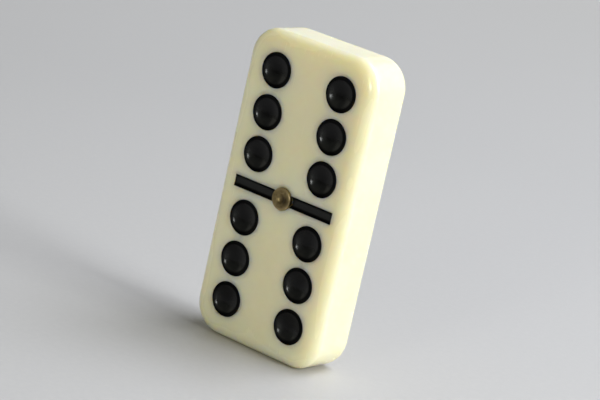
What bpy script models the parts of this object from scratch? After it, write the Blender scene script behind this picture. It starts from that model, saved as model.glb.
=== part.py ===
"""Double-six domino tile with a brass spinner, standing on its short end.

Frame: metres, +Z along the tile's long axis, pip face towards -Y, +X to the right of someone who
looks at the face. The origin is the centre of the bottom end, at half the tile's thickness.

The tile is one moulded block. Twelve round pockets and two grooves in its face are lined with black
enamel, and a brass pin is pressed into a blind hole in the middle, between the two grooves.
"""

import math

import bmesh
import bpy

MM = 0.001

# ---------------------------------------------------------------- tile
TILE_WIDTH = 25.4 * MM  # 1 in
TILE_HEIGHT = 50.8 * MM  # 2 in
TILE_THICKNESS = 9.5 * MM  # 3/8 in
CORNER_RADIUS = 5.0 * MM  # the four corners, seen square on to the face
# The two faces turn into the sides through a quarter of an ellipse.
FACE_ROUNDING = 2.55 * MM  # how far in from the sides a face starts to curve away
SIDE_ROUNDING = 1.5 * MM  # how far along the thickness that curve runs

# ---------------------------------------------------------------- fits
FIT_GAP = 0.05 * MM  # clearance between a piece and the pocket that holds it
BELOW_FACE = 0.03 * MM  # the enamel's rim stops just short of the face
CUT_MARGIN = 0.5 * MM  # how far a cutter runs past what it cuts

# ---------------------------------------------------------------- pips
PIP_COLUMN = 6.5 * MM  # each column of pips, from the centre line
PIP_FIRST_ROW = 5.3 * MM  # the row next to the divider, from the tile's centre
PIP_PITCH = 6.88 * MM  # row to row
PIP_ROWS = 3  # in each half of the tile
PIP_RADIUS = 2.86 * MM  # mouth of the pocket, at the face
PIP_BOWL_RADIUS = 2.62 * MM  # foot of the short steep wall, where the round bowl starts
PIP_WALL_DEPTH = 0.45 * MM
PIP_DEPTH = 1.02 * MM  # at the middle of the bowl

# ---------------------------------------------------------------- divider grooves
GROOVE_END = 9.92 * MM  # outer end of each groove, from the centre line
GROOVE_HALF_WIDTH = 0.98 * MM  # at the face
GROOVE_FLOOR_HALF_WIDTH = 0.70 * MM
GROOVE_DEPTH = 0.62 * MM
GROOVE_OVERLAP = 0.6 * MM  # how far each groove runs into the pin's counterbore

# ---------------------------------------------------------------- enamel linings
GROOVE_ENAMEL = 0.17 * MM  # thickness over the groove floor
GROOVE_ENAMEL_RIM = 0.07 * MM  # width of the lining's rim
GROOVE_ENAMEL_FOOT = 0.10 * MM  # how far the upper side's foot is in from the underside's
PIP_ENAMEL = 0.8 * GROOVE_ENAMEL  # thickness over the bowl
PIP_ENAMEL_RIM = 0.06 * MM
PIP_ENAMEL_FOOT = 0.12 * MM

# ---------------------------------------------------------------- brass pin and its hole
HEAD_RADIUS = 1.80 * MM
HEAD_EDGE = 0.28 * MM  # height of the head's straight edge above the face
HEAD_CROWN = 0.50 * MM  # height above the face of the dome's arc, at the axis
HEAD_SEAT_DEPTH = 0.30 * MM  # how far the head sinks into its counterbore
DIMPLE_RADIUS = 0.80 * MM
DIMPLE_DEPTH = 0.30 * MM
SHANK_RADIUS = 1.0 * MM
SHANK_LENGTH = 6.2 * MM  # from the face to the tip
TIP_CHAMFER = 0.3 * MM
SEAT_RADIUS = HEAD_RADIUS + FIT_GAP
HOLE_DEPTH = SHANK_LENGTH + 4.0 * FIT_GAP  # to the foot of the hole's straight wall
HOLE_CONE = 0.4 * MM  # depth of the hole's conical end

# ---------------------------------------------------------------- mesh resolution
CORNER_STEPS = 10
ROUNDING_STEPS = 5
PIP_SIDES = 32
BOWL_STEPS = 3
PIN_SIDES = 36
DOME_STEPS = 4
DIMPLE_STEPS = 3
MERGE_DISTANCE = 1e-7
SHARP_ANGLE = math.radians(30.0)
QUARTER_TURN = math.radians(90.0)


# ---------------------------------------------------------------- materials
def material(name, colour, roughness, metallic=0.0, coat_weight=0.0, coat_roughness=0.03):
    mat = bpy.data.materials.new(name)
    mat.use_nodes = True
    inputs = mat.node_tree.nodes["Principled BSDF"].inputs
    inputs["Base Color"].default_value = (*colour, 1.0)
    inputs["Roughness"].default_value = roughness
    inputs["Metallic"].default_value = metallic
    inputs["Coat Weight"].default_value = coat_weight
    inputs["Coat Roughness"].default_value = coat_roughness
    # The same look for the solid viewport.
    mat.diffuse_color = (*colour, 1.0)
    mat.roughness = roughness
    mat.metallic = metallic
    return mat


def ivory_material():
    return material(
        "ivory_plastic",
        colour=(0.83, 0.77, 0.57),
        roughness=0.28,
        coat_weight=0.3,
        coat_roughness=0.1,
    )


def brass_material():
    return material("brass", colour=(0.52, 0.38, 0.18), roughness=0.36, metallic=1.0)


def enamel_material(piece):
    return material(
        "enamel_" + piece,
        colour=(0.006, 0.006, 0.007),
        roughness=0.18,
        coat_weight=0.6,
        coat_roughness=0.06,
    )


# ---------------------------------------------------------------- helpers
def add_object(name, mesh, mat=None, parent=None, location=(0.0, 0.0, 0.0)):
    """Link a new object. The material sits on the object, so that pieces can share a mesh."""
    obj = bpy.data.objects.new(name, mesh)
    bpy.context.scene.collection.objects.link(obj)
    obj.parent = parent
    obj.location = location
    if mat is not None:
        if not mesh.materials:
            mesh.materials.append(None)
        obj.material_slots[0].link = "OBJECT"
        obj.material_slots[0].material = mat
    return obj


def mesh_from(bm, name):
    bmesh.ops.remove_doubles(bm, verts=bm.verts, dist=MERGE_DISTANCE)
    bmesh.ops.recalc_face_normals(bm, faces=bm.faces)
    mesh = bpy.data.meshes.new(name)
    bm.to_mesh(mesh)
    bm.free()
    mesh.shade_smooth()
    mesh.set_sharp_from_angle(angle=SHARP_ANGLE)
    return mesh


def turned(profile, sides, name):
    """Solid of revolution about Z. The profile is (radius, height) from axis to axis."""
    bm = bmesh.new()
    verts = [bm.verts.new((radius, 0.0, height)) for radius, height in profile]
    edges = [bm.edges.new(pair) for pair in zip(verts, verts[1:])]
    bmesh.ops.spin(
        bm,
        geom=verts + edges,
        cent=(0.0, 0.0, 0.0),
        axis=(0.0, 0.0, 1.0),
        angle=2.0 * math.pi,
        steps=sides,
        use_duplicate=False,
    )
    return mesh_from(bm, name)


def extruded(section, x_start, x_end, name):
    """Prism along X. The section is (y, z) points around a closed loop."""
    bm = bmesh.new()
    end_face = bm.faces.new([bm.verts.new((x_start, y, z)) for y, z in section])
    extrusion = bmesh.ops.extrude_face_region(bm, geom=[end_face])
    moved = [item for item in extrusion["geom"] if isinstance(item, bmesh.types.BMVert)]
    bmesh.ops.translate(bm, verts=moved, vec=(x_end - x_start, 0.0, 0.0))
    return mesh_from(bm, name)


def add_cutter(name, mesh, parent, location=(0.0, 0.0, 0.0)):
    obj = add_object(name, mesh, parent=parent, location=location)
    obj.display_type = "WIRE"
    obj.hide_render = True
    return obj


def cut(target, tool):
    mod = target.modifiers.new("cut " + tool.name, "BOOLEAN")
    mod.operation = "DIFFERENCE"
    mod.solver = "EXACT"
    mod.object = tool


# ---------------------------------------------------------------- face frame
def add_face_frame():
    """Empty at the middle of the pip face: x to the right, y up the tile, z out of the face."""
    frame = add_object(
        "face_frame", None, location=(0.0, -TILE_THICKNESS / 2.0, TILE_HEIGHT / 2.0)
    )
    frame.rotation_euler = (QUARTER_TURN, 0.0, 0.0)
    return frame


# ---------------------------------------------------------------- tile body
def outline(bm, inset, y):
    """The tile's outline drawn in by inset, at depth y, as a loop of vertices and its edges."""
    radius = CORNER_RADIUS - inset
    verts = []
    for quarter, (x_sign, z_sign) in enumerate(((1, 1), (-1, 1), (-1, -1), (1, -1))):
        centre_x = x_sign * (TILE_WIDTH / 2.0 - CORNER_RADIUS)
        centre_z = TILE_HEIGHT / 2.0 + z_sign * (TILE_HEIGHT / 2.0 - CORNER_RADIUS)
        for step in range(CORNER_STEPS + 1):
            angle = QUARTER_TURN * (quarter + step / CORNER_STEPS)
            x = centre_x + radius * math.cos(angle)
            z = centre_z + radius * math.sin(angle)
            verts.append(bm.verts.new((x, y, z)))
    edges = [bm.edges.new((verts[i - 1], verts[i])) for i in range(len(verts))]
    return verts, edges


def add_tile_body():
    # (inset, distance from mid-thickness), from a face round its rounding to the side.
    stations = []
    for step in range(ROUNDING_STEPS + 1):
        angle = QUARTER_TURN * step / ROUNDING_STEPS
        inset = FACE_ROUNDING * (1.0 - math.sin(angle))
        depth = TILE_THICKNESS / 2.0 - SIDE_ROUNDING * (1.0 - math.cos(angle))
        stations.append((inset, depth))

    bm = bmesh.new()
    loops = [outline(bm, inset, -depth) for inset, depth in stations]
    loops += [outline(bm, inset, depth) for inset, depth in reversed(stations)]
    for (_, near), (_, far) in zip(loops, loops[1:]):
        bmesh.ops.bridge_loops(bm, edges=near + far)
    bm.faces.new(loops[0][0])
    bm.faces.new(loops[-1][0])
    return add_object("tile_body", mesh_from(bm, "tile_body"), ivory_material())


# ---------------------------------------------------------------- pips
def bowl_profile(radius, bowl_radius, wall_depth, depth, rim_depth):
    """(radius, height) from the mouth to the axis: a short steep wall, then a round bowl."""
    points = [(radius, -rim_depth)]
    for step in range(BOWL_STEPS + 1):
        r = bowl_radius * (1.0 - step / BOWL_STEPS)
        points.append((r, -(depth - (depth - wall_depth) * (r / bowl_radius) ** 2)))
    return points


def pip_pocket_mesh():
    pocket = bowl_profile(PIP_RADIUS, PIP_BOWL_RADIUS, PIP_WALL_DEPTH, PIP_DEPTH, rim_depth=0.0)
    above_face = [(0.0, CUT_MARGIN), (PIP_RADIUS, CUT_MARGIN)]
    return turned(above_face + pocket, PIP_SIDES, "pip_pocket")


def pip_enamel_mesh():
    """Thin bowl whose underside follows the pocket, one fit gap clear of it."""
    slope = (PIP_RADIUS - PIP_BOWL_RADIUS) / PIP_WALL_DEPTH
    rim_radius = PIP_RADIUS - slope * BELOW_FACE - FIT_GAP
    bowl_radius = PIP_BOWL_RADIUS - FIT_GAP
    wall_depth = PIP_WALL_DEPTH - FIT_GAP
    depth = PIP_DEPTH - FIT_GAP
    underside = bowl_profile(rim_radius, bowl_radius, wall_depth, depth, BELOW_FACE)
    upper_side = bowl_profile(
        rim_radius - PIP_ENAMEL_RIM,
        bowl_radius - PIP_ENAMEL_FOOT,
        wall_depth - PIP_ENAMEL,
        depth - PIP_ENAMEL,
        BELOW_FACE,
    )
    return turned(upper_side[::-1] + underside, PIP_SIDES, "pip_enamel")


def add_pips(tile, face):
    pocket_mesh = pip_pocket_mesh()
    enamel_mesh = pip_enamel_mesh()
    for half, direction in (("upper", 1.0), ("lower", -1.0)):
        for side, x in (("left", -PIP_COLUMN), ("right", PIP_COLUMN)):
            for row in range(PIP_ROWS):
                # Rows are counted from the top of each half downwards.
                from_divider = PIP_ROWS - 1 - row if half == "upper" else row
                y = direction * (PIP_FIRST_ROW + PIP_PITCH * from_divider)
                place = (x, y, 0.0)
                name = f"pip_{half}_{side}_{row + 1}"
                cut(tile, add_cutter("pocket_" + name, pocket_mesh, face, place))
                add_object(name, enamel_mesh, enamel_material(name), face, place)


# ---------------------------------------------------------------- hole for the pin
def cut_pin_hole(tile, face):
    """Counterbore for the head, then a blind hole for the shank."""
    seat_floor = -HEAD_SEAT_DEPTH - FIT_GAP
    hole_radius = SHANK_RADIUS + FIT_GAP
    profile = [
        (0.0, CUT_MARGIN),
        (SEAT_RADIUS, CUT_MARGIN),
        (SEAT_RADIUS, seat_floor),
        (hole_radius, seat_floor),
        (hole_radius, -HOLE_DEPTH),
        (0.0, -HOLE_DEPTH - HOLE_CONE),
    ]
    cut(tile, add_cutter("pin_hole", turned(profile, PIN_SIDES, "pin_hole"), face))


# ---------------------------------------------------------------- divider
def groove_section():
    return [
        (-GROOVE_HALF_WIDTH, 0.0),
        (-GROOVE_FLOOR_HALF_WIDTH, -GROOVE_DEPTH),
        (GROOVE_FLOOR_HALF_WIDTH, -GROOVE_DEPTH),
        (GROOVE_HALF_WIDTH, 0.0),
        (GROOVE_HALF_WIDTH, CUT_MARGIN),
        (-GROOVE_HALF_WIDTH, CUT_MARGIN),
    ]


def lining_section():
    """Open channel: the underside from rim to rim, then back along the upper side."""
    slope = (GROOVE_HALF_WIDTH - GROOVE_FLOOR_HALF_WIDTH) / GROOVE_DEPTH
    rim = GROOVE_HALF_WIDTH - slope * BELOW_FACE - FIT_GAP
    foot = GROOVE_FLOOR_HALF_WIDTH + slope * FIT_GAP - FIT_GAP
    upper_rim = rim - GROOVE_ENAMEL_RIM
    upper_foot = foot - GROOVE_ENAMEL_FOOT
    bottom = -GROOVE_DEPTH + FIT_GAP
    return [
        (-rim, -BELOW_FACE),
        (-foot, bottom),
        (foot, bottom),
        (rim, -BELOW_FACE),
        (upper_rim, -BELOW_FACE),
        (upper_foot, bottom + GROOVE_ENAMEL),
        (-upper_foot, bottom + GROOVE_ENAMEL),
        (-upper_rim, -BELOW_FACE),
    ]


def add_head_clearance(face):
    """Cutter a little wider than the counterbore, which ends the linings round the head."""
    radius = SEAT_RADIUS + FIT_GAP
    bottom = -GROOVE_DEPTH - CUT_MARGIN
    profile = [(0.0, CUT_MARGIN), (radius, CUT_MARGIN), (radius, bottom), (0.0, bottom)]
    return add_cutter("head_clearance", turned(profile, PIN_SIDES, "head_clearance"), face)


def add_divider(tile, face):
    head_clearance = add_head_clearance(face)
    for name, sign in (("divider_left", -1.0), ("divider_right", 1.0)):
        inner = sign * (SEAT_RADIUS - GROOVE_OVERLAP)
        outer = sign * GROOVE_END
        groove = extruded(groove_section(), inner, outer, name + "_groove")
        cut(tile, add_cutter("groove_" + name, groove, face))
        lining = extruded(lining_section(), inner, outer - sign * FIT_GAP, name)
        strip = add_object(name, lining, enamel_material(name), face)
        cut(strip, head_clearance)


# ---------------------------------------------------------------- brass pin
def head_profile():
    """(radius, height) from the bottom of the dimple, over its lip and down the dome."""
    # The dome is an arc that would run from the top of the head's edge to the crown.
    rise = HEAD_CROWN - HEAD_EDGE
    dome_radius = (HEAD_RADIUS**2 + rise**2) / (2.0 * rise)
    centre_height = HEAD_CROWN - dome_radius
    lip_angle = math.asin(DIMPLE_RADIUS / dome_radius)
    edge_angle = math.asin(HEAD_RADIUS / dome_radius)
    lip_height = centre_height + dome_radius * math.cos(lip_angle)

    points = []
    for step in range(DIMPLE_STEPS):
        angle = QUARTER_TURN * step / DIMPLE_STEPS
        height = lip_height - DIMPLE_DEPTH * math.cos(angle)
        points.append((DIMPLE_RADIUS * math.sin(angle), height))
    for step in range(DOME_STEPS + 1):
        angle = lip_angle + (edge_angle - lip_angle) * step / DOME_STEPS
        height = centre_height + dome_radius * math.cos(angle)
        points.append((dome_radius * math.sin(angle), height))
    return points


def add_spinner(face):
    profile = head_profile() + [
        (HEAD_RADIUS, -HEAD_SEAT_DEPTH),
        (SHANK_RADIUS, -HEAD_SEAT_DEPTH),
        (SHANK_RADIUS, -SHANK_LENGTH + TIP_CHAMFER),
        (SHANK_RADIUS - TIP_CHAMFER, -SHANK_LENGTH),
        (0.0, -SHANK_LENGTH),
    ]
    add_object("spinner", turned(profile, PIN_SIDES, "spinner"), brass_material(), face)


# ---------------------------------------------------------------- build
for old in list(bpy.data.objects):
    bpy.data.objects.remove(old, do_unlink=True)

face_frame = add_face_frame()
tile_body = add_tile_body()
add_pips(tile_body, face_frame)
cut_pin_hole(tile_body, face_frame)
add_divider(tile_body, face_frame)
add_spinner(face_frame)
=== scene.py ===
"""An ivory domino tile standing upright, with round pips and one dividing groove in black enamel,
and a brass pin through the middle.

Metres, +Z up. The pip face looks towards -Y and the plain back towards +Y, the width runs along X,
and the groove crosses the face from left (-X) to right (+X). A "depth" is measured from the pip
face into the tile.
"""
import math

import bmesh
import bpy
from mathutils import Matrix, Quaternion, Vector, noise
from mathutils.geometry import delaunay_2d_cdt


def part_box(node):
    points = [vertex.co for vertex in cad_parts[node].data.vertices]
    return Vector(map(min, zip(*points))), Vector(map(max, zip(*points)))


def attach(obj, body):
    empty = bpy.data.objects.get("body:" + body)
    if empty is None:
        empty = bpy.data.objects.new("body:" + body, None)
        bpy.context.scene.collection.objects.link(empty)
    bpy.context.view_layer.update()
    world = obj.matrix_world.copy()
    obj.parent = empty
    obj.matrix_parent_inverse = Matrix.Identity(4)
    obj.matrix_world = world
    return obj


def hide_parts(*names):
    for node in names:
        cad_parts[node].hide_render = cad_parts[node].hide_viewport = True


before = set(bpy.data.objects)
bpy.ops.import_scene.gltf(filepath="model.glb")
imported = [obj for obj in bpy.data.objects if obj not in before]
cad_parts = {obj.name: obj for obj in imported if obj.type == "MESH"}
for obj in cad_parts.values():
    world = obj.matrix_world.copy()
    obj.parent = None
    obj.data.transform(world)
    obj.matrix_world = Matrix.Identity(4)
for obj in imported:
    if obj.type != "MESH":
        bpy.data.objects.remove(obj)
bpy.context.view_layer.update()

MM = 0.001

# ------------------------------------------------------------------ sizes
# Tile
tile_low, tile_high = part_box("tile_body")
WIDTH, HEIGHT = tile_high[0] - tile_low[0], tile_high[2] - tile_low[2]
FRONT, BACK = tile_low[1], tile_high[1]
MID_X, MID_Z = (tile_low[0] + tile_high[0]) / 2, (tile_low[2] + tile_high[2]) / 2
TILE_CENTRE = Vector((MID_X, (FRONT + BACK) / 2, MID_Z))
CORNER = 5.0 * MM  # radius of the four corners, seen from the front
FACE_ROUND = 2.55 * MM  # reach of the elliptical edges across both faces
FRONT_ROUND = 1.5 * MM  # their reach along the thickness, at the front
BACK_ROUND = 2.1 * MM  # and at the back
LIP = 0.07 * MM  # rounding of the mouths of all pockets
LIP_STEPS = 4
GAP = 0.02 * MM  # between the enamel and the ivory

# Pip pockets: a sloping wall round a parabolic bowl
PIPS = sorted(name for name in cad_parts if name.startswith("pip_"))
pip_low, pip_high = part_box(PIPS[0])
PIP_R = (pip_high[0] - pip_low[0]) / 2 + 0.08 * MM  # the mouth; the lining is a little smaller
PIP_DEPTH = pip_high[1] - FRONT + 0.05 * MM
PIP_SIDES = 72
BOWL_R = 2.62 * MM
WALL = 0.45 * MM  # depth at which the wall meets the bowl

# Brass pin
pin_low, pin_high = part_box("spinner")
HEAD_R = (pin_high[0] - pin_low[0]) / 2
CROWN = FRONT - pin_low[1]  # how far the head stands out of the face
SHANK_END = pin_high[1] - FRONT
SHANK_R = 1.0 * MM
DIMPLE_R, DIMPLE_D = 0.80 * MM, 0.30 * MM
SEAT_R = HEAD_R + 0.05 * MM  # counterbore for the head
BORE_R = 1.05 * MM

# Groove, one bar on each side of the pin
bar_low, bar_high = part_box("divider_right")
BAR_END = bar_high[0] + 0.05 * MM
BAR_HALF = (bar_high[2] - bar_low[2]) / 2 + 0.06 * MM
BAR_DEPTH = bar_high[1] - FRONT + 0.05 * MM
BAR_TAPER = 0.24 * MM  # each wall leans in this much from mouth to floor


def centre(node):
    low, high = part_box(node)
    return (low[0] + high[0]) / 2, (low[2] + high[2]) / 2


def clamp(value):
    return max(0.0, min(1.0, value))


def quarter(i, steps):
    """Angle of step i along a quarter turn."""
    return math.pi / 2 * i / steps


# ------------------------------------------------------------------ mesh helpers
def finish_mesh(bm, name, material, node, smooth):
    """Makes the object that replaces a CAD node; edges over smooth degrees stay sharp."""
    bmesh.ops.recalc_face_normals(bm, faces=bm.faces)
    mesh = bpy.data.meshes.new(name)
    bm.to_mesh(mesh)
    bm.free()
    mesh.shade_smooth()
    mesh.set_sharp_from_angle(angle=math.radians(smooth))
    obj = bpy.data.objects.new(name, mesh)
    bpy.context.scene.collection.objects.link(obj)
    mesh.materials.append(material)
    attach(obj, "root")
    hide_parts(node)


def ring(bm, points):
    return [bm.verts.new(point) for point in points]


def round_ring(bm, middle, radius, depth, sides):
    """Ring about a (x, z) middle, at a depth into the face."""
    angles = [2 * math.pi * k / sides for k in range(sides)]
    return ring(bm, [
        (middle[0] + radius * math.cos(a), FRONT + depth, middle[1] + radius * math.sin(a))
        for a in angles
    ])


def bridge(bm, rings):
    """Joins each ring to the next with quads."""
    for here, there in zip(rings, rings[1:]):
        count = len(here)
        for i in range(count):
            j = (i + 1) % count
            bm.faces.new((here[i], here[j], there[j], there[i]))


def fan(bm, loop, point):
    tip = bm.verts.new(point)
    for i in range(len(loop)):
        bm.faces.new((loop[i], loop[(i + 1) % len(loop)], tip))


def inside(p, poly):
    hit = False
    b = poly[-1]
    for a in poly:
        if (a.y > p.y) != (b.y > p.y) and p.x < (b.x - a.x) * (p.y - a.y) / (b.y - a.y) + a.x:
            hit = not hit
        b = a
    return hit


def clearance(p, poly):
    """Distance from p to the nearest side of the polygon."""
    best = 1e9
    a = poly[-1]
    for b in poly:
        side = b - a
        t = max(0.0, min(1.0, (p - a).dot(side) / side.length_squared))
        best = min(best, (p - a - side * t).length)
        a = b
    return best


def fill_plane(bm, y, outer, holes, spacing):
    """Fills the flat region between an outer loop and any holes with even triangles."""
    loops = [outer] + holes
    points, edges, owner = [], [], []
    for loop in loops:
        base = len(points)
        for v in loop:
            points.append(Vector((v.co.x, v.co.z)))
            owner.append(v)
        edges += [(base + i, base + (i + 1) % len(loop)) for i in range(len(loop))]
    fixed = len(points)
    polys = [[Vector((v.co.x, v.co.z)) for v in loop] for loop in loops]
    boxes = [
        (min(p.x for p in q), max(p.x for p in q), min(p.y for p in q), max(p.y for p in q))
        for q in polys
    ]
    keep_off = spacing * 0.6  # free points stay this far from every loop

    def in_hole(p):
        return any(
            box[0] - spacing < p.x < box[1] + spacing
            and box[2] - spacing < p.y < box[3] + spacing
            and (inside(p, poly) or clearance(p, poly) < keep_off)
            for poly, box in zip(polys[1:], boxes[1:])
        )

    # free points on a triangular grid; 0.866 is the row height of a unit triangle
    x0, x1, z0, z1 = boxes[0]
    rows = int((z1 - z0) / (spacing * 0.866)) + 1
    columns = int((x1 - x0) / spacing) + 2
    for row in range(1, rows):
        for column in range(columns):
            x = x0 + (column + 0.5 * (row % 2)) * spacing
            p = Vector((x, z0 + row * spacing * 0.866))
            if not inside(p, polys[0]) or clearance(p, polys[0]) < keep_off:
                continue
            if not in_hole(p):
                points.append(p)

    scale = 1000.0  # worked in millimetres, for the triangulator's tolerance
    result = delaunay_2d_cdt([p * scale for p in points], edges, [], 0, 1e-7, True)
    flat, triangles, sources = result[0], result[2], result[3]
    made = []
    for co, source in zip(flat, sources):
        k = next((i for i in source if i < fixed), None)
        if k is None:
            made.append(bm.verts.new((co.x / scale, y, co.y / scale)))
        else:
            made.append(owner[k])
    for triangle in triangles:
        middle = sum((Vector(flat[i]) for i in triangle), Vector((0.0, 0.0))) / (3 * scale)
        if inside(middle, polys[0]) and not any(inside(middle, q) for q in polys[1:]):
            bm.faces.new([made[i] for i in triangle])


def outline(half_w, half_h, radius, arc_steps, straight_steps):
    """Rounded rectangle as (x, z) round its middle, from +X anticlockwise.

    straight_steps holds the step counts of the level and the upright sides.
    """
    signs = ((1.0, 1.0), (-1.0, 1.0), (-1.0, -1.0), (1.0, -1.0))

    def on_corner(corner, angle):
        sign_x, sign_z = signs[corner % 4]
        return (
            sign_x * (half_w - radius) + radius * math.cos(angle),
            sign_z * (half_h - radius) + radius * math.sin(angle),
        )

    points = []
    for q in range(4):
        for i in range(arc_steps + 1):
            points.append(on_corner(q, math.pi / 2 * (q + i / arc_steps)))
        start_x, start_z = points[-1]
        end_x, end_z = on_corner(q + 1, math.pi / 2 * (q + 1))
        count = straight_steps[q % 2]
        for i in range(1, count):
            t = i / count
            points.append((start_x + (end_x - start_x) * t, start_z + (end_z - start_z) * t))
    return points


# ------------------------------------------------------------------ shader helpers
class Shader:
    """Builds nodes in a material or world; values may be numbers, colours or sockets."""

    def __init__(self, owner, space="Object"):
        owner.use_nodes = True
        self.owner = owner
        self.tree = owner.node_tree
        self.bsdf = self.tree.nodes.get("Principled BSDF")
        self.coord = self.node("ShaderNodeTexCoord").outputs[space]

    def node(self, kind, **props):
        node = self.tree.nodes.new(kind)
        for key, value in props.items():
            setattr(node, key, value)
        return node

    def put(self, socket, value):
        if isinstance(value, bpy.types.NodeSocket):
            self.tree.links.new(value, socket)
        elif isinstance(value, (tuple, list)) and len(value) == 3 and socket.type == "RGBA":
            socket.default_value = (*value, 1.0)
        else:
            socket.default_value = value

    def set(self, **values):
        for key, value in values.items():
            self.put(self.bsdf.inputs[key.replace("_", " ")], value)

    def math(self, operation, a, b=0.0):
        node = self.node("ShaderNodeMath", operation=operation)
        self.put(node.inputs[0], a)
        self.put(node.inputs[1], b)
        return node.outputs[0]

    def times(self, a, b):
        return self.math("MULTIPLY", a, b)

    def plus(self, a, b):
        return self.math("ADD", a, b)

    def axes(self):
        node = self.node("ShaderNodeSeparateXYZ")
        self.put(node.inputs[0], self.coord)
        return node.outputs

    def mapping(self, scale, rotation):
        node = self.node("ShaderNodeMapping")
        self.put(node.inputs["Vector"], self.coord)
        node.inputs["Scale"].default_value = scale
        node.inputs["Rotation"].default_value = rotation
        return node.outputs[0]

    def noise(self, scale, detail=4.0, rough=0.5, vector=None, distortion=0.0):
        node = self.node("ShaderNodeTexNoise")
        self.put(node.inputs["Vector"], vector or self.coord)
        node.inputs["Scale"].default_value = scale
        node.inputs["Detail"].default_value = detail
        node.inputs["Roughness"].default_value = rough
        node.inputs["Distortion"].default_value = distortion
        return node.outputs["Fac"]

    def voronoi(self, scale):
        node = self.node("ShaderNodeTexVoronoi")
        self.put(node.inputs["Vector"], self.coord)
        node.inputs["Scale"].default_value = scale
        return node.outputs["Distance"]

    def ramp(self, factor, *stops):
        """Each stop is (position, colour)."""
        node = self.node("ShaderNodeValToRGB")
        self.put(node.inputs[0], factor)
        elements = node.color_ramp.elements
        while len(elements) < len(stops):
            elements.new(0.5)
        for element, (position, colour) in zip(elements, stops):
            element.position = position
            element.color = (*colour, 1.0)
        return node.outputs[0]

    def remap(self, value, span, to=(0.0, 1.0)):
        node = self.node("ShaderNodeMapRange")
        self.put(node.inputs[0], value)
        for i, number in enumerate((*span, *to), start=1):
            node.inputs[i].default_value = number
        return node.outputs[0]

    def tint(self, base, colour, amount):
        node = self.node("ShaderNodeMix", data_type="RGBA", blend_type="MIX", clamp_factor=True)
        self.put(node.inputs["Factor"], amount)
        self.put(node.inputs[6], base)
        self.put(node.inputs[7], colour)
        return node.outputs[2]

    def attribute(self, name):
        return self.node("ShaderNodeAttribute", attribute_name=name).outputs["Fac"]

    def bump(self, height, distance, strength, normal=None):
        node = self.node("ShaderNodeBump")
        self.put(node.inputs["Height"], height)
        node.inputs["Distance"].default_value = distance
        node.inputs["Strength"].default_value = strength
        if normal is not None:
            self.put(node.inputs["Normal"], normal)
        return node.outputs[0]

    def mix_shader(self, factor, first, second):
        node = self.node("ShaderNodeMixShader")
        for socket, value in zip(node.inputs, (factor, first, second)):
            self.put(socket, value)
        return node.outputs[0]


# ------------------------------------------------------------------ materials
def ivory():
    """Cast ivory plastic: cloudy, a little translucent, polished, with fine rubbing marks."""
    mat = Shader(bpy.data.materials.new("ivory_cast_plastic"))
    cloud = mat.noise(scale=80.0, detail=3.0, distortion=0.4)
    mottle = mat.noise(scale=900.0, detail=3.0, rough=0.6)
    stretch = mat.mapping(scale=(3.0, 3.0, 0.6), rotation=(0.05, 0.12, 0.0))
    flow = mat.noise(scale=48.0, vector=stretch, distortion=0.35)
    base = mat.ramp(
        cloud,
        (0.30, (0.810, 0.748, 0.478)),
        (0.55, (0.838, 0.782, 0.512)),
        (0.78, (0.862, 0.812, 0.554)),
    )
    flow_amount = mat.remap(flow, span=(0.38, 0.70), to=(0.0, 0.30))
    base = mat.tint(base, colour=(0.795, 0.728, 0.465), amount=flow_amount)
    mottle_amount = mat.remap(mottle, span=(0.35, 0.75), to=(0.0, 0.12))
    base = mat.tint(base, colour=(0.890, 0.855, 0.660), amount=mottle_amount)
    edge = mat.attribute("edge")
    base = mat.tint(base, colour=(0.850, 0.770, 0.540), amount=mat.times(edge, 0.30))
    # darker and a little rougher round the mouths of the pips and over the groove and seat
    mouth_darkening = mat.attribute("mouth_darkening")
    patch = mat.remap(mat.noise(scale=420.0, rough=0.65), span=(0.35, 0.70), to=(0.35, 1.0))
    darkening_amount = mat.times(mat.times(mouth_darkening, patch), 0.45)
    base = mat.tint(base, colour=(0.300, 0.262, 0.190), amount=darkening_amount)

    stretch = mat.mapping(scale=(1.0, 1.0, 0.6), rotation=(0.3, 0.2, 0.5))
    smear = mat.noise(scale=70.0, detail=3.0, vector=stretch, distortion=0.3)
    # straight hairline rubbing marks at two angles, only here and there
    stretch = mat.mapping(scale=(9.0, 9.0, 0.22), rotation=(0.0, 0.55, 0.0))
    hair_a = mat.noise(scale=300.0, detail=1.0, rough=0.4, vector=stretch)
    stretch = mat.mapping(scale=(9.0, 9.0, 0.20), rotation=(0.0, -0.85, 0.3))
    hair_b = mat.noise(scale=280.0, detail=1.0, rough=0.4, vector=stretch)
    hairs = mat.math(
        "MAXIMUM", mat.remap(hair_a, span=(0.66, 0.76)), mat.remap(hair_b, span=(0.67, 0.77))
    )
    hairs = mat.times(hairs, mat.remap(mat.noise(scale=130.0, detail=2.0), span=(0.45, 0.62)))

    rough = mat.remap(smear, span=(0.3, 0.72), to=(0.19, 0.29))
    for mask, extra in ((hairs, 0.06), (edge, 0.05), (mouth_darkening, 0.12)):
        rough = mat.plus(rough, mat.times(mask, extra))
    wave = mat.bump(mat.noise(scale=90.0, detail=2.0), distance=0.000014, strength=0.35)
    peel = mat.bump(
        mat.noise(scale=1500.0, detail=2.0), distance=0.000002, strength=0.35, normal=wave
    )
    mat.set(
        Base_Color=base,
        Roughness=rough,
        Subsurface_Weight=1.0,
        Subsurface_Radius=(1.0, 0.82, 0.42),
        Subsurface_Scale=0.0050,
        IOR=1.52,
        Coat_Weight=0.20,
        Coat_Roughness=0.12,
        Normal=mat.bump(mat.times(hairs, -1.0), distance=0.0000015, strength=0.4, normal=peel),
    )
    return mat.owner


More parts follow.
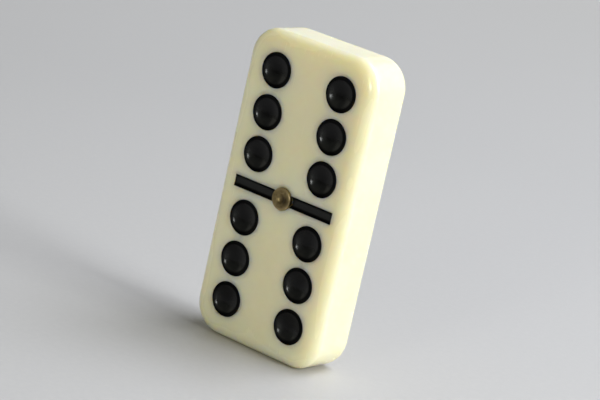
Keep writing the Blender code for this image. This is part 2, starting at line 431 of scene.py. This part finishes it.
def enamel():
    """Gloss black enamel that flowed into the pockets: thin and matt up the walls, glossy in
    the bowls, with slight orange peel and a few dust specks; a lighter grey painted reflection
    lies in the bowls and bars, with a black painted shade ring round it."""
    mat = Shader(bpy.data.materials.new("black_gloss_enamel"))
    # rim: the thin matt enamel on the mouths, and a black painted shade ring in the bowls and
    # along the bars' edges and ends
    rim = mat.attribute("rim")
    # painted reflection: a lighter grey tone, kept off the rim
    painted_reflection = mat.times(mat.attribute("painted_reflection"), mat.math("SUBTRACT", 1.0, rim))
    tone = mat.noise(scale=500.0, rough=0.6)
    base = mat.ramp(tone, (0.3, (0.0006, 0.0006, 0.0007)), (0.7, (0.0022, 0.0022, 0.0024)))
    reflection_mottle = mat.noise(scale=260.0, rough=0.55, distortion=0.5)
    reflection_mottle = mat.remap(reflection_mottle, span=(0.3, 0.7), to=(0.65, 1.0))
    base = mat.tint(base, colour=(0.0130, 0.0135, 0.0122), amount=mat.times(painted_reflection, reflection_mottle))
    dust = mat.remap(mat.voronoi(scale=2300.0), span=(0.075, 0.05))
    dust = mat.times(dust, mat.remap(mat.noise(scale=700.0, detail=2.0), span=(0.55, 0.65)))
    base = mat.tint(base, colour=(0.12, 0.115, 0.10), amount=mat.times(dust, 0.25))

    smear = mat.noise(scale=380.0, rough=0.6, distortion=0.8)
    rough = mat.remap(smear, span=(0.3, 0.72), to=(0.13, 0.23))
    for mask, extra in ((dust, 0.25), (rim, 0.18)):
        rough = mat.plus(rough, mat.times(mask, extra))
    peel = mat.bump(mat.noise(scale=700.0, detail=2.0), distance=0.000014, strength=0.38)
    mat.set(
        Base_Color=base,
        Roughness=rough,
        IOR=1.47,
        Specular_IOR_Level=mat.remap(rim, span=(0.0, 1.0), to=(0.195, 0.035)),
        Normal=mat.bump(dust, distance=0.000006, strength=0.7, normal=peel),
    )
    return mat.owner


def brass():
    """Turned brass head gone dull: turning rings, tarnish that is darkest in the dimple, a dark
    painted shade right of the middle and painted highlights on the edge above and below.
    """
    ring_pitch, ring_wander = 0.00011, 0.00004
    painted_shade_x, painted_shade_z = 0.00085, 0.00012  # a dark painted shade this far right of and below the middle
    painted_shade_squash = 0.6  # draws the painted shade out along Z
    painted_shade_fray = 0.00018
    mat = Shader(bpy.data.materials.new("dull_turned_brass"))
    axes = mat.axes()
    dx = mat.math("SUBTRACT", axes[0], MID_X)
    dz = mat.math("SUBTRACT", axes[2], MID_Z)
    radius = mat.math("SQRT", mat.plus(mat.times(dx, dx), mat.times(dz, dz)))
    wander = mat.times(mat.noise(scale=500.0), ring_wander)
    rings = mat.math("SINE", mat.times(mat.plus(radius, wander), 2 * math.pi / ring_pitch))
    tarnish = mat.noise(scale=850.0, detail=5.0, rough=0.62, distortion=0.6)
    base = mat.ramp(
        tarnish,
        (0.30, (0.124, 0.092, 0.042)),
        (0.52, (0.222, 0.166, 0.075)),
        (0.75, (0.325, 0.248, 0.117)),
    )
    dimple = mat.remap(radius, span=(0.0003, 0.00090), to=(1.0, 0.0))
    base = mat.tint(base, colour=(0.080, 0.058, 0.028), amount=mat.times(dimple, 0.45))
    # painted shade: darkens the colour right of and below the middle
    sx = mat.math("SUBTRACT", dx, painted_shade_x)
    sz = mat.plus(dz, painted_shade_z)
    painted_shade = mat.plus(mat.times(sx, sx), mat.times(mat.times(sz, sz), painted_shade_squash))
    painted_shade = mat.math("SQRT", painted_shade)
    painted_shade = mat.plus(painted_shade, mat.times(mat.noise(scale=1500.0), painted_shade_fray))
    painted_shade_amount = mat.remap(painted_shade, span=(0.00030, 0.00115), to=(0.74, 0.0))
    base = mat.tint(base, colour=(0.030, 0.022, 0.012), amount=painted_shade_amount)
    rim = mat.remap(radius, span=(0.00130, 0.00175))
    # painted highlight: the head's edge is lighter above and below
    painted_highlight = mat.remap(mat.math("ABSOLUTE", dz), span=(0.0005, 0.0013), to=(0.10, 0.62))
    base = mat.tint(base, colour=(0.500, 0.388, 0.196), amount=mat.times(rim, painted_highlight))

    turned = mat.bump(rings, distance=0.000003, strength=0.5)
    grain = mat.noise(scale=2600.0, detail=3.0, rough=0.6)
    mat.set(
        Base_Color=base,
        Metallic=1.0,
        Roughness=mat.remap(tarnish, span=(0.28, 0.75), to=(0.46, 0.30)),
        Normal=mat.bump(grain, distance=0.000006, strength=0.6, normal=turned),
    )
    return mat.owner


IVORY, ENAMEL, BRASS = ivory(), enamel(), brass()


# ------------------------------------------------------------------ tile body
def bowl_depth(r, bowl_r, wall, depth):
    return depth - (depth - wall) * (r / bowl_r) ** 2


def build_skin(bm, edge_layer):
    """The tile's rounded outside and its back; returns the loop that bounds the flat face."""
    steps, side_steps = 16, 10

    def tile_loop(inset, y, edge):
        points = outline(
            WIDTH / 2 - inset, HEIGHT / 2 - inset, CORNER - inset,
            arc_steps=22, straight_steps=(22, 66),
        )
        loop = ring(bm, [(MID_X + x, y, MID_Z + z) for x, z in points])
        for v in loop:
            v[edge_layer] = edge
        return loop

    skin = []
    for i in range(steps + 1):
        a = quarter(i, steps)
        y = FRONT + FRONT_ROUND * (1 - math.cos(a))
        skin.append(tile_loop(FACE_ROUND * (1 - math.sin(a)), y, math.sin(2 * a)))
    for i in range(1, side_steps):
        straight = BACK - FRONT - FRONT_ROUND - BACK_ROUND
        skin.append(tile_loop(0.0, FRONT + FRONT_ROUND + straight * i / side_steps, 0.0))
    for i in range(steps + 1):
        a = quarter(i, steps)
        y = BACK - BACK_ROUND * (1 - math.sin(a))
        skin.append(tile_loop(FACE_ROUND * (1 - math.cos(a)), y, math.sin(2 * a)))
    bridge(bm, skin)
    fill_plane(bm, BACK, skin[-1], [], spacing=1.1 * MM)
    return skin[0]


def lip_rings(ring_at):
    """Rings of a rounded mouth, from the face inwards; ring_at takes (grow, depth)."""
    angles = [quarter(i, LIP_STEPS) for i in range(LIP_STEPS + 1)]
    return [ring_at(LIP * (1 - math.sin(a)), LIP * (1 - math.cos(a))) for a in angles]


def cut_pip(bm, middle):
    """Pocket for one pip; returns its mouth."""

    def circle(radius, depth):
        return round_ring(bm, middle, radius, depth, PIP_SIDES)

    rings = lip_rings(lambda grow, depth: circle(PIP_R + grow, depth))
    for t in (0.5, 1.0):
        rings.append(circle(PIP_R + (BOWL_R - PIP_R) * t, LIP + (WALL - LIP) * t))
    for i in range(1, 6):
        r = BOWL_R * (1 - i / 6)
        rings.append(circle(r, bowl_depth(r, BOWL_R, WALL, PIP_DEPTH)))
    bridge(bm, rings)
    fan(bm, rings[-1], (middle[0], FRONT + PIP_DEPTH, middle[1]))
    return rings[0]


def groove_outline(grow):
    """Shared mouth of the two bars and the round seat between them, grown outwards."""
    half, seat, end = BAR_HALF + grow, SEAT_R + grow, BAR_END + grow
    join = math.asin(half / seat)
    join_x = seat * math.cos(join)
    arc_steps, bar_steps, end_steps = 20, 26, 6
    points = []

    def run(x0, z0, x1, z1, steps):
        for k in range(steps):
            points.append((x0 + (x1 - x0) * k / steps, z0 + (z1 - z0) * k / steps))

    # right end and upper side, then the same turned half round
    for side, turn in ((1.0, 0.0), (-1.0, math.pi)):
        top = side * half
        run(side * end, -top, side * end, top, end_steps)
        run(side * end, top, side * join_x, top, bar_steps)
        for k in range(arc_steps):
            a = turn + join + (math.pi - 2 * join) * k / arc_steps
            points.append((seat * math.cos(a), seat * math.sin(a)))
        run(-side * join_x, top, -side * end, top, bar_steps)
    return points


def cut_groove(bm):
    """Groove, pin seat and bore; returns the mouth."""

    def groove_ring(grow, depth):
        return ring(bm, [(MID_X + x, FRONT + depth, MID_Z + z) for x, z in groove_outline(grow)])

    rings = lip_rings(groove_ring)
    for t in (0.5, 1.0):
        rings.append(groove_ring(-BAR_TAPER * t, LIP + (BAR_DEPTH - LIP) * t))
    bridge(bm, rings)
    bore = [
        round_ring(bm, (MID_X, MID_Z), BORE_R, depth, sides=48)
        for depth in (BAR_DEPTH, SHANK_END * 0.5, SHANK_END + 0.2 * MM)
    ]
    fill_plane(bm, FRONT + BAR_DEPTH, rings[-1], [bore[0]], spacing=0.45 * MM)
    bridge(bm, bore)
    fan(bm, bore[2], (MID_X, FRONT + SHANK_END + 0.6 * MM, MID_Z))
    return rings[0]


def mark_darkening(bm, darkening_layer, pip_centres):
    """The ivory is darker round the mouths of the pips and over the groove and seat."""
    darkening_reach, fade = 1.2 * MM, 0.28 * MM
    for v in bm.verts:
        if v.co.y > FRONT + darkening_reach:
            continue
        pip = min(abs(math.hypot(v.co.x - cx, v.co.z - cz) - PIP_R) for cx, cz in pip_centres)
        x, z = abs(v.co.x - MID_X), abs(v.co.z - MID_Z)
        bar = math.hypot(max(x - BAR_END, 0.0), max(z - BAR_HALF, 0.0))
        seat = max(math.hypot(x, z) - SEAT_R, 0.0)
        v[darkening_layer] = math.exp(-min(pip, bar, seat) / fade)


def sink_faces(bm):
    """The moulded faces aren't dead flat: a very shallow sink and waviness."""
    sink, waviness = 0.012 * MM, 0.010 * MM
    for v in bm.verts:
        if abs(v.co.y - FRONT) < 1e-7 or abs(v.co.y - BACK) < 1e-7:
            side = -1.0 if v.co.y < 0 else 1.0
            wave = noise.noise(Vector((v.co.x, v.co.y * 3.0, v.co.z)) * 90.0)
            v.co.y -= side * (sink + waviness * wave)


def build_tile():
    bm = bmesh.new()
    edge_layer = bm.verts.layers.float.new("edge")  # 1 halfway round the rounded edges
    darkening_layer = bm.verts.layers.float.new("mouth_darkening")
    face_loop = build_skin(bm, edge_layer)
    pip_centres = [centre(node) for node in PIPS]
    mouths = [cut_pip(bm, middle) for middle in pip_centres]
    mouths.append(cut_groove(bm))
    fill_plane(bm, FRONT, face_loop, mouths, spacing=0.55 * MM)
    mark_darkening(bm, darkening_layer, pip_centres)
    sink_faces(bm)
    finish_mesh(bm, "ivory_tile", IVORY, "tile_body", smooth=40.0)


build_tile()


# ------------------------------------------------------------------ enamel in the pips
def pip_surface():
    """(radius, depth) of the enamel's seen wall and bowl, blended where they meet."""
    thickness, steps = 0.15 * MM, 27
    bowl_r, wall, bottom = BOWL_R - thickness, WALL - thickness, PIP_DEPTH - thickness
    start_r, start_d = PIP_R - 0.05 * MM, 0.04 * MM
    soft = 0.05 * MM
    points = []
    for i in range(steps):
        r = start_r * (1 - i / steps)
        wall_d = start_d + (start_r - r) * (wall - start_d) / (start_r - bowl_r)
        bowl_d = bowl_depth(r, bowl_r, wall, bottom)
        # a smooth minimum of the two depths
        h = clamp(0.5 + 0.5 * (bowl_d - wall_d) / soft)
        points.append((r, bowl_d + (wall_d - bowl_d) * h - soft * h * (1 - h)))
    return points, bowl_r, bottom


def build_pip_enamel(index, node):
    cx, cz = centre(node)
    bm = bmesh.new()
    rim_layer = bm.verts.layers.float.new("rim")
    painted_reflection_layer = bm.verts.layers.float.new("painted_reflection")
    seed = Vector((index * 7.31, index * 3.17, 0.0))

    def enamel_ring(r, depth, wobble=0.0, ripple=0.0):
        """Ring with noise of wobble in its radius and ripple in its depth."""
        points = []
        for k in range(PIP_SIDES):
            a = 2 * math.pi * k / PIP_SIDES
            n = noise.noise(seed + Vector((math.cos(a) * 1.3, math.sin(a) * 1.3, r * 900.0)))
            rr = r + wobble * n
            y = FRONT + depth + ripple * n
            points.append((cx + rr * math.cos(a), y, cz + rr * math.sin(a)))
        return ring(bm, points)

    # underside, from the middle out
    rings = []
    for i in range(1, 5):
        r = BOWL_R * i / 4
        depth = bowl_depth(r, BOWL_R, WALL, PIP_DEPTH) - GAP
        rings.append(enamel_ring(r - (GAP if i == 4 else 0.0), depth))
    # the rim, thin and flush with the mouth
    rim_rings = [
        enamel_ring(PIP_R - GAP, LIP + 0.01 * MM),
        enamel_ring(PIP_R + 0.25 * LIP - GAP, 0.030 * MM, wobble=0.012 * MM),
        enamel_ring(PIP_R - 0.030 * MM, 0.024 * MM, wobble=0.012 * MM),
    ]
    rings += rim_rings
    for loop in rim_rings:
        for v in loop:
            v[rim_layer] = 1.0

    surface, bowl_r, bottom = pip_surface()
    for r, depth in surface:
        rings.append(enamel_ring(r, depth, wobble=0.006 * MM, ripple=0.004 * MM))
        for v in rings[-1]:
            # painted shade: a black ring round a glossy middle set left of and below the centre,
            # so wider on the right and top
            off = math.hypot(v.co.x - cx + 0.42 * MM, v.co.z - cz + 0.14 * MM)
            v[rim_layer] = clamp((off - bowl_r + 0.37 * MM) / (0.24 * MM))
            # painted reflection: a lighter grey lies in a broad ring, mostly low down;
            # a spot left of the middle stays dark
            away = math.hypot(v.co.x - cx + 0.55 * MM, v.co.z - cz - 0.25 * MM)
            h = clamp((away - 0.45 * MM) / (1.25 * MM))
            low = clamp(0.55 - 0.45 * (v.co.z - cz) / (1.5 * MM))
            v[painted_reflection_layer] = h * h * (3 - 2 * h) * low
    fan(bm, rings[0], (cx, FRONT + PIP_DEPTH - GAP, cz))
    bridge(bm, rings)
    fan(bm, rings[-1], (cx, FRONT + bottom, cz))
    finish_mesh(bm, "enamel_" + node, ENAMEL, node, smooth=60.0)


for index, node in enumerate(PIPS):
    build_pip_enamel(index, node)


# ------------------------------------------------------------------ enamel in the groove
def build_bar_enamel(node, sign):
    """A strip swept from the pin outwards; sign is the side it lies on along X."""
    bm = bmesh.new()
    rim_layer = bm.verts.layers.float.new("rim")
    painted_reflection_layer = bm.verts.layers.float.new("painted_reflection")
    half = BAR_HALF - GAP
    foot = BAR_HALF - BAR_TAPER - GAP
    floor = BAR_DEPTH - GAP
    inner_half, trough = half - 0.06 * MM, floor - 0.19 * MM
    top_edge = 0.03 * MM  # depth of the trough's edges
    top_steps, length_steps = 14, 40

    # cross-section as (z, depth): underside, then the trough from +z to -z
    section = [
        (-half, 0.05 * MM), (-foot, floor), (0.0, floor), (foot, floor),
        (half, 0.05 * MM), (half - 0.02 * MM, 0.025 * MM),
    ]
    for i in range(top_steps + 1):
        across = 1 - 2 * i / top_steps
        fall = 1 - max(0.0, (abs(across) - 0.52) / 0.48) ** 1.6
        section.append((inner_half * across, top_edge + (trough - top_edge) * fall))
    section.append((-half + 0.02 * MM, 0.025 * MM))

    outer_x = BAR_END - GAP - 0.02 * MM
    loops = []
    for k in range(length_steps + 1):
        points = []
        for z, depth in section:
            # the inner end is a round notch that clears the pin's head
            notch = math.sqrt(max((SEAT_R + 0.03 * MM) ** 2 - z * z, 0.0))
            x = notch + (outer_x - notch) * k / length_steps
            n = noise.noise(Vector((x * 700.0, z * 900.0, 5.0 * sign)))
            seen = 1.0 if depth < floor - 0.01 * MM else 0.0
            # the trough rises to meet the outer end
            end = max(0.0, 1.0 - (outer_x - x) / (0.20 * MM))
            lift = (depth - top_edge) * end * 0.75 if seen and depth > top_edge else 0.0
            y = FRONT + depth + seen * 0.005 * MM * n - lift
            points.append((MID_X + sign * x, y, MID_Z + z))
        loops.append(ring(bm, points))
        for v, (z, depth) in zip(loops[-1], section):
            # painted shade: the rim keeps the trough's edges and ends black; the painted
            # reflection lies on the rest
            v[rim_layer] = clamp((abs(z) / inner_half - 0.50) / 0.22)
            v[painted_reflection_layer] = 1.0
            if outer_x - abs(v.co.x - MID_X) < 0.14 * MM:
                v[rim_layer] = 1.0
    bridge(bm, loops)
    for loop in (loops[0], loops[-1]):
        bm.faces.new(loop)
    finish_mesh(bm, "enamel_" + node, ENAMEL, node, smooth=50.0)


build_bar_enamel("divider_left", -1.0)
build_bar_enamel("divider_right", 1.0)


# ------------------------------------------------------------------ brass pin
def build_pin():
    bm = bmesh.new()
    dimple_edge = 0.02 * MM  # the dimple starts this far under the crown
    soft = 0.13 * MM  # width of the dimple's softened lip
    land_drop = CROWN - 0.28 * MM - 0.12 * MM
    profile = []  # (radius, height out of the face), from the middle outwards
    for i in range(1, 10):  # dimple
        r = DIMPLE_R * i / 9
        profile.append((r, CROWN - dimple_edge - DIMPLE_D * (1 - (r / DIMPLE_R) ** 2) ** 0.8))
    for i in range(1, 6):  # softened lip of the dimple
        t = i / 5
        profile.append((DIMPLE_R + soft * t, CROWN - dimple_edge * (1 - t) ** 2))
    for i in range(1, 15):  # domed land, falling to the rounded edge
        t = i / 14
        r = DIMPLE_R + soft + (HEAD_R - 0.14 * MM - DIMPLE_R - soft) * t
        profile.append((r, CROWN - land_drop * t**2.1))
    edge_r, edge_height = profile[-1]
    for i in range(1, 8):  # rounded edge
        a = quarter(i, 7)
        r = edge_r + (HEAD_R - edge_r) * math.sin(a)
        profile.append((r, edge_height - 0.16 * MM * (1 - math.cos(a))))
    profile += [  # underside of the head, then the shank
        (HEAD_R, -0.24 * MM),
        (HEAD_R - 0.03 * MM, -0.30 * MM),
        (1.06 * MM, -0.30 * MM),
        (SHANK_R, -0.36 * MM),
        (SHANK_R, -SHANK_END * 0.5),
        (SHANK_R, -SHANK_END + 0.3 * MM),
        (0.7 * MM, -SHANK_END),
    ]
    rings = [round_ring(bm, (MID_X, MID_Z), r, -height, sides=96) for r, height in profile]
    fan(bm, rings[0], (MID_X, FRONT - (CROWN - dimple_edge - DIMPLE_D), MID_Z))
    bridge(bm, rings)
    fan(bm, rings[-1], (MID_X, FRONT + SHANK_END, MID_Z))
    finish_mesh(bm, "brass_pin", BRASS, "spinner", smooth=50.0)


build_pin()

scene = bpy.context.scene


# ------------------------------------------------------------------ floor
def floor_material():
    mat = Shader(bpy.data.materials.new("pale_floor"))
    paper = mat.noise(scale=900.0, detail=3.0, rough=0.6)
    mat.set(
        Base_Color=mat.ramp(paper, (0.3, (0.464, 0.448, 0.408)), (0.7, (0.494, 0.477, 0.435))),
        Roughness=mat.remap(paper, span=(0.3, 0.7), to=(0.5, 0.6)),
        Normal=mat.bump(paper, distance=0.00002, strength=0.3),
    )
    # the floor fades into the white surround well away from the object
    axes = mat.axes()
    distance = mat.plus(mat.math("POWER", axes[0], 2.0), mat.math("POWER", axes[1], 2.0))
    distance = mat.math("SQRT", distance)
    clear = mat.node("ShaderNodeBsdfTransparent").outputs[0]
    fade = mat.ramp(
        mat.remap(distance, span=(0.18, 1.1)), (0.0, (0.0, 0.0, 0.0)), (1.0, (1.0, 1.0, 1.0))
    )
    surface = mat.mix_shader(fade, mat.bsdf.outputs[0], clear)
    mat.put(mat.tree.nodes["Material Output"].inputs["Surface"], surface)
    return mat.owner


def build_floor():
    bm = bmesh.new()
    bmesh.ops.create_circle(bm, cap_ends=True, cap_tris=False, segments=96, radius=1.6)
    mesh = bpy.data.meshes.new("floor")
    bm.to_mesh(mesh)
    bm.free()
    floor = bpy.data.objects.new("floor", mesh)
    scene.collection.objects.link(floor)
    floor.location = (0.0, 0.0, -0.00002)
    mesh.materials.append(floor_material())


build_floor()


# ------------------------------------------------------------------ light
def build_world():
    """A plain white surround for the camera; a dim room for everything else."""
    world = bpy.data.worlds.new("studio")
    scene.world = world
    world.use_nodes = True
    world.node_tree.nodes.clear()
    room = Shader(world, space="Generated")

    def background(colour, strength):
        node = room.node("ShaderNodeBackground")
        room.put(node.inputs["Color"], colour)
        node.inputs["Strength"].default_value = strength
        return node

    seen = background(colour=(1.0, 1.0, 1.0), strength=0.80)
    seen.label = "seen"
    # the room is a little darker on the left of the tile
    sky = room.ramp(
        room.remap(room.axes()[0], span=(-1.0, 0.6)),
        (0.0, (0.50, 0.495, 0.48)),
        (1.0, (1.25, 1.23, 1.17)),
    )
    ambient = background(colour=sky, strength=0.157)
    camera_ray = room.node("ShaderNodeLightPath").outputs["Is Camera Ray"]
    surface = room.mix_shader(camera_ray, ambient.outputs[0], seen.outputs[0])
    room.put(room.node("ShaderNodeOutputWorld").inputs["Surface"], surface)


def aim(obj, target, roll=0.0):
    """Points -Z at the target, then rolls by some degrees about it."""
    look = (target - obj.location).to_track_quat("-Z", "Y")
    obj.rotation_mode = "QUATERNION"
    obj.rotation_quaternion = look @ Quaternion((0.0, 0.0, 1.0), math.radians(roll))


def area(name, at, size, power, colour):
    """Rectangular light aimed at the tile; size is (width, height)."""
    data = bpy.data.lights.new(name, "AREA")
    data.energy = power
    data.color = colour
    data.shape = "RECTANGLE"
    data.size, data.size_y = size
    obj = bpy.data.objects.new(name, data)
    scene.collection.objects.link(obj)
    obj.location = at
    obj.visible_camera = False
    aim(obj, TILE_CENTRE)


build_world()
# name, place, size, power, colour
for light in (
    ("key_right", (0.70, 0.06, 0.34), (0.30, 0.42), 5.3, (0.97, 1.02, 1.13)),
    ("top_back", (0.20, 0.26, 0.61), (0.50, 0.40), 4.3, (0.96, 1.01, 1.18)),
    ("back_panel", (-0.50, 0.76, 0.30), (0.60, 0.40), 0.5, (0.86, 0.94, 1.0)),
    ("left_panel", (-0.68, -0.26, 0.16), (0.55, 0.32), 0.36, (1.0, 0.97, 0.83)),
    ("front_fill", (-0.05, -0.70, 0.42), (0.60, 0.40), 0.15, (1.0, 0.96, 0.66)),
    ("window", (0.080, -0.443, 0.090), (0.066, 0.080), 0.48, (0.94, 0.98, 0.95)),
):
    area(*light)

# ------------------------------------------------------------------ camera
CAMERA_OFFSET = Vector((0.2302, -0.3174, 0.0986))  # from the middle of the pip face
AIM_DROP = 0.0005  # it aims this far below the tile's centre
LEAN = 12.7  # the tile leans to the right in the picture by this many degrees

camera_data = bpy.data.cameras.new("camera")
camera_data.sensor_width = 36.0
camera_data.lens = 155.0
camera_data.clip_start, camera_data.clip_end = 0.01, 20.0
camera = bpy.data.objects.new("camera", camera_data)
scene.collection.objects.link(camera)
scene.camera = camera
camera.location = Vector((MID_X, FRONT, MID_Z)) + CAMERA_OFFSET
aim(camera, TILE_CENTRE - Vector((0.0, 0.0, AIM_DROP)), roll=LEAN)

scene.view_settings.view_transform = "Standard"
scene.view_settings.look = "None"
